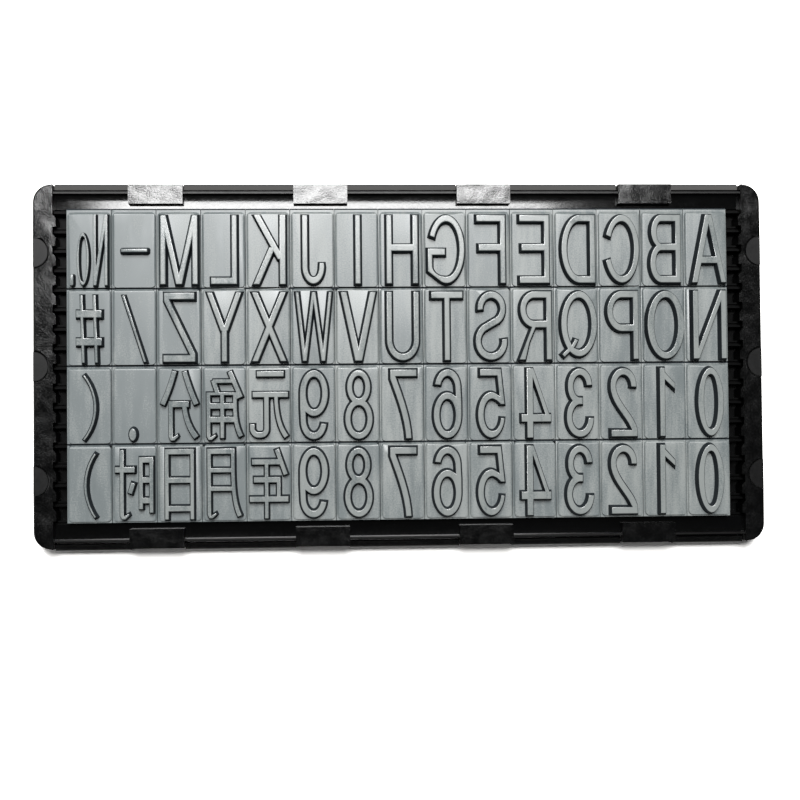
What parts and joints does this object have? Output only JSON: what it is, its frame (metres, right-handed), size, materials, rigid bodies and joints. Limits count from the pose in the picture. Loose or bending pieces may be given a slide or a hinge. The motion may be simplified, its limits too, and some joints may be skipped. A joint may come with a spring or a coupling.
{
  "type": "letter stamp set",
  "caption": "Storage tray with ribbed bed holding rows of loose rubber stamp types with raised mirrored letters, digits, signs and unit characters; each type lifts off.",
  "frame": {"origin": "middle of the underside of the tray", "axes": "+X along the rows towards the last column, +Y up the rows towards the first row, +Z away from the table"},
  "size_m": [0.1038, 0.0522, 0.0064],
  "materials": {
    "tray_plastic": "satin black moulded plastic",
    "type_rubber": "smooth matt blue-grey rubber"
  },
  "bodies": {
    "tray": {"tray": "tray_plastic"},
    "type_no_sign": {"type_no_sign": "type_rubber"},
    "type_dash": {"type_dash": "type_rubber"},
    "type_m": {"type_m": "type_rubber"},
    "type_l": {"type_l": "type_rubber"},
    "type_k": {"type_k": "type_rubber"},
    "type_j": {"type_j": "type_rubber"},
    "type_i": {"type_i": "type_rubber"},
    "type_h": {"type_h": "type_rubber"},
    "type_g": {"type_g": "type_rubber"},
    "type_f": {"type_f": "type_rubber"},
    "type_e": {"type_e": "type_rubber"},
    "type_d": {"type_d": "type_rubber"},
    "type_c": {"type_c": "type_rubber"},
    "type_b": {"type_b": "type_rubber"},
    "type_a": {"type_a": "type_rubber"},
    "type_hash": {"type_hash": "type_rubber"},
    "type_slash": {"type_slash": "type_rubber"},
    "type_z": {"type_z": "type_rubber"},
    "type_y": {"type_y": "type_rubber"},
    "type_x": {"type_x": "type_rubber"},
    "type_w": {"type_w": "type_rubber"},
    "type_v": {"type_v": "type_rubber"},
    "type_u": {"type_u": "type_rubber"},
    "type_t": {"type_t": "type_rubber"},
    "type_s": {"type_s": "type_rubber"},
    "type_r": {"type_r": "type_rubber"},
    "type_q": {"type_q": "type_rubber"},
    "type_p": {"type_p": "type_rubber"},
    "type_o": {"type_o": "type_rubber"},
    "type_n": {"type_n": "type_rubber"},
    "type_open_bracket": {"type_open_bracket": "type_rubber"},
    "type_dot": {"type_dot": "type_rubber"},
    "type_cent": {"type_cent": "type_rubber"},
    "type_dime": {"type_dime": "type_rubber"},
    "type_yuan": {"type_yuan": "type_rubber"},
    "digit_9_upper": {"digit_9_upper": "type_rubber"},
    "digit_8_upper": {"digit_8_upper": "type_rubber"},
    "digit_7_upper": {"digit_7_upper": "type_rubber"},
    "digit_6_upper": {"digit_6_upper": "type_rubber"},
    "digit_5_upper": {"digit_5_upper": "type_rubber"},
    "digit_4_upper": {"digit_4_upper": "type_rubber"},
    "digit_3_upper": {"digit_3_upper": "type_rubber"},
    "digit_2_upper": {"digit_2_upper": "type_rubber"},
    "digit_1_upper": {"digit_1_upper": "type_rubber"},
    "digit_0_pair": {"digit_0_pair": "type_rubber"},
    "type_close_bracket": {"type_close_bracket": "type_rubber"},
    "type_hour": {"type_hour": "type_rubber"},
    "type_day": {"type_day": "type_rubber"},
    "type_month": {"type_month": "type_rubber"},
    "type_year": {"type_year": "type_rubber"},
    "digit_9_lower": {"digit_9_lower": "type_rubber"},
    "digit_8_lower": {"digit_8_lower": "type_rubber"},
    "digit_7_lower": {"digit_7_lower": "type_rubber"},
    "digit_6_lower": {"digit_6_lower": "type_rubber"},
    "digit_5_lower": {"digit_5_lower": "type_rubber"},
    "digit_4_lower": {"digit_4_lower": "type_rubber"},
    "digit_3_lower": {"digit_3_lower": "type_rubber"},
    "digit_2_lower": {"digit_2_lower": "type_rubber"},
    "digit_1_lower": {"digit_1_lower": "type_rubber"}
  },
  "joints": [
    {"name": "type_no_sign_lift", "type": "slide", "parent": "tray", "child": "type_no_sign", "axis": [0, 0, 1], "range_m": [0, 0.008]},
    {"name": "type_dash_lift", "type": "slide", "parent": "tray", "child": "type_dash", "axis": [0, 0, 1], "range_m": [0, 0.008]},
    {"name": "type_m_lift", "type": "slide", "parent": "tray", "child": "type_m", "axis": [0, 0, 1], "range_m": [0, 0.008]},
    {"name": "type_l_lift", "type": "slide", "parent": "tray", "child": "type_l", "axis": [0, 0, 1], "range_m": [0, 0.008]},
    {"name": "type_k_lift", "type": "slide", "parent": "tray", "child": "type_k", "axis": [0, 0, 1], "range_m": [0, 0.008]},
    {"name": "type_j_lift", "type": "slide", "parent": "tray", "child": "type_j", "axis": [0, 0, 1], "range_m": [0, 0.008]},
    {"name": "type_i_lift", "type": "slide", "parent": "tray", "child": "type_i", "axis": [0, 0, 1], "range_m": [0, 0.008]},
    {"name": "type_h_lift", "type": "slide", "parent": "tray", "child": "type_h", "axis": [0, 0, 1], "range_m": [0, 0.008]},
    {"name": "type_g_lift", "type": "slide", "parent": "tray", "child": "type_g", "axis": [0, 0, 1], "range_m": [0, 0.008]},
    {"name": "type_f_lift", "type": "slide", "parent": "tray", "child": "type_f", "axis": [0, 0, 1], "range_m": [0, 0.008]},
    {"name": "type_e_lift", "type": "slide", "parent": "tray", "child": "type_e", "axis": [0, 0, 1], "range_m": [0, 0.008]},
    {"name": "type_d_lift", "type": "slide", "parent": "tray", "child": "type_d", "axis": [0, 0, 1], "range_m": [0, 0.008]},
    {"name": "type_c_lift", "type": "slide", "parent": "tray", "child": "type_c", "axis": [0, 0, 1], "range_m": [0, 0.008]},
    {"name": "type_b_lift", "type": "slide", "parent": "tray", "child": "type_b", "axis": [0, 0, 1], "range_m": [0, 0.008]},
    {"name": "type_a_lift", "type": "slide", "parent": "tray", "child": "type_a", "axis": [0, 0, 1], "range_m": [0, 0.008]},
    {"name": "type_hash_lift", "type": "slide", "parent": "tray", "child": "type_hash", "axis": [0, 0, 1], "range_m": [0, 0.008]},
    {"name": "type_slash_lift", "type": "slide", "parent": "tray", "child": "type_slash", "axis": [0, 0, 1], "range_m": [0, 0.008]},
    {"name": "type_z_lift", "type": "slide", "parent": "tray", "child": "type_z", "axis": [0, 0, 1], "range_m": [0, 0.008]},
    {"name": "type_y_lift", "type": "slide", "parent": "tray", "child": "type_y", "axis": [0, 0, 1], "range_m": [0, 0.008]},
    {"name": "type_x_lift", "type": "slide", "parent": "tray", "child": "type_x", "axis": [0, 0, 1], "range_m": [0, 0.008]},
    {"name": "type_w_lift", "type": "slide", "parent": "tray", "child": "type_w", "axis": [0, 0, 1], "range_m": [0, 0.008]},
    {"name": "type_v_lift", "type": "slide", "parent": "tray", "child": "type_v", "axis": [0, 0, 1], "range_m": [0, 0.008]},
    {"name": "type_u_lift", "type": "slide", "parent": "tray", "child": "type_u", "axis": [0, 0, 1], "range_m": [0, 0.008]},
    {"name": "type_t_lift", "type": "slide", "parent": "tray", "child": "type_t", "axis": [0, 0, 1], "range_m": [0, 0.008]},
    {"name": "type_s_lift", "type": "slide", "parent": "tray", "child": "type_s", "axis": [0, 0, 1], "range_m": [0, 0.008]},
    {"name": "type_r_lift", "type": "slide", "parent": "tray", "child": "type_r", "axis": [0, 0, 1], "range_m": [0, 0.008]},
    {"name": "type_q_lift", "type": "slide", "parent": "tray", "child": "type_q", "axis": [0, 0, 1], "range_m": [0, 0.008]},
    {"name": "type_p_lift", "type": "slide", "parent": "tray", "child": "type_p", "axis": [0, 0, 1], "range_m": [0, 0.008]},
    {"name": "type_o_lift", "type": "slide", "parent": "tray", "child": "type_o", "axis": [0, 0, 1], "range_m": [0, 0.008]},
    {"name": "type_n_lift", "type": "slide", "parent": "tray", "child": "type_n", "axis": [0, 0, 1], "range_m": [0, 0.008]},
    {"name": "type_open_bracket_lift", "type": "slide", "parent": "tray", "child": "type_open_bracket", "axis": [0, 0, 1], "range_m": [0, 0.008]},
    {"name": "type_dot_lift", "type": "slide", "parent": "tray", "child": "type_dot", "axis": [0, 0, 1], "range_m": [0, 0.008]},
    {"name": "type_cent_lift", "type": "slide", "parent": "tray", "child": "type_cent", "axis": [0, 0, 1], "range_m": [0, 0.008]},
    {"name": "type_dime_lift", "type": "slide", "parent": "tray", "child": "type_dime", "axis": [0, 0, 1], "range_m": [0, 0.008]},
    {"name": "type_yuan_lift", "type": "slide", "parent": "tray", "child": "type_yuan", "axis": [0, 0, 1], "range_m": [0, 0.008]},
    {"name": "digit_9_upper_lift", "type": "slide", "parent": "tray", "child": "digit_9_upper", "axis": [0, 0, 1], "range_m": [0, 0.008]},
    {"name": "digit_8_upper_lift", "type": "slide", "parent": "tray", "child": "digit_8_upper", "axis": [0, 0, 1], "range_m": [0, 0.008]},
    {"name": "digit_7_upper_lift", "type": "slide", "parent": "tray", "child": "digit_7_upper", "axis": [0, 0, 1], "range_m": [0, 0.008]},
    {"name": "digit_6_upper_lift", "type": "slide", "parent": "tray", "child": "digit_6_upper", "axis": [0, 0, 1], "range_m": [0, 0.008]},
    {"name": "digit_5_upper_lift", "type": "slide", "parent": "tray", "child": "digit_5_upper", "axis": [0, 0, 1], "range_m": [0, 0.008]},
    {"name": "digit_4_upper_lift", "type": "slide", "parent": "tray", "child": "digit_4_upper", "axis": [0, 0, 1], "range_m": [0, 0.008]},
    {"name": "digit_3_upper_lift", "type": "slide", "parent": "tray", "child": "digit_3_upper", "axis": [0, 0, 1], "range_m": [0, 0.008]},
    {"name": "digit_2_upper_lift", "type": "slide", "parent": "tray", "child": "digit_2_upper", "axis": [0, 0, 1], "range_m": [0, 0.008]},
    {"name": "digit_1_upper_lift", "type": "slide", "parent": "tray", "child": "digit_1_upper", "axis": [0, 0, 1], "range_m": [0, 0.008]},
    {"name": "digit_0_pair_lift", "type": "slide", "parent": "tray", "child": "digit_0_pair", "axis": [0, 0, 1], "range_m": [0, 0.008]},
    {"name": "type_close_bracket_lift", "type": "slide", "parent": "tray", "child": "type_close_bracket", "axis": [0, 0, 1], "range_m": [0, 0.008]},
    {"name": "type_hour_lift", "type": "slide", "parent": "tray", "child": "type_hour", "axis": [0, 0, 1], "range_m": [0, 0.008]},
    {"name": "type_day_lift", "type": "slide", "parent": "tray", "child": "type_day", "axis": [0, 0, 1], "range_m": [0, 0.008]},
    {"name": "type_month_lift", "type": "slide", "parent": "tray", "child": "type_month", "axis": [0, 0, 1], "range_m": [0, 0.008]},
    {"name": "type_year_lift", "type": "slide", "parent": "tray", "child": "type_year", "axis": [0, 0, 1], "range_m": [0, 0.008]},
    {"name": "digit_9_lower_lift", "type": "slide", "parent": "tray", "child": "digit_9_lower", "axis": [0, 0, 1], "range_m": [0, 0.008]},
    {"name": "digit_8_lower_lift", "type": "slide", "parent": "tray", "child": "digit_8_lower", "axis": [0, 0, 1], "range_m": [0, 0.008]},
    {"name": "digit_7_lower_lift", "type": "slide", "parent": "tray", "child": "digit_7_lower", "axis": [0, 0, 1], "range_m": [0, 0.008]},
    {"name": "digit_6_lower_lift", "type": "slide", "parent": "tray", "child": "digit_6_lower", "axis": [0, 0, 1], "range_m": [0, 0.008]},
    {"name": "digit_5_lower_lift", "type": "slide", "parent": "tray", "child": "digit_5_lower", "axis": [0, 0, 1], "range_m": [0, 0.008]},
    {"name": "digit_4_lower_lift", "type": "slide", "parent": "tray", "child": "digit_4_lower", "axis": [0, 0, 1], "range_m": [0, 0.008]},
    {"name": "digit_3_lower_lift", "type": "slide", "parent": "tray", "child": "digit_3_lower", "axis": [0, 0, 1], "range_m": [0, 0.008]},
    {"name": "digit_2_lower_lift", "type": "slide", "parent": "tray", "child": "digit_2_lower", "axis": [0, 0, 1], "range_m": [0, 0.008]},
    {"name": "digit_1_lower_lift", "type": "slide", "parent": "tray", "child": "digit_1_lower", "axis": [0, 0, 1], "range_m": [0, 0.008]}
  ]
}
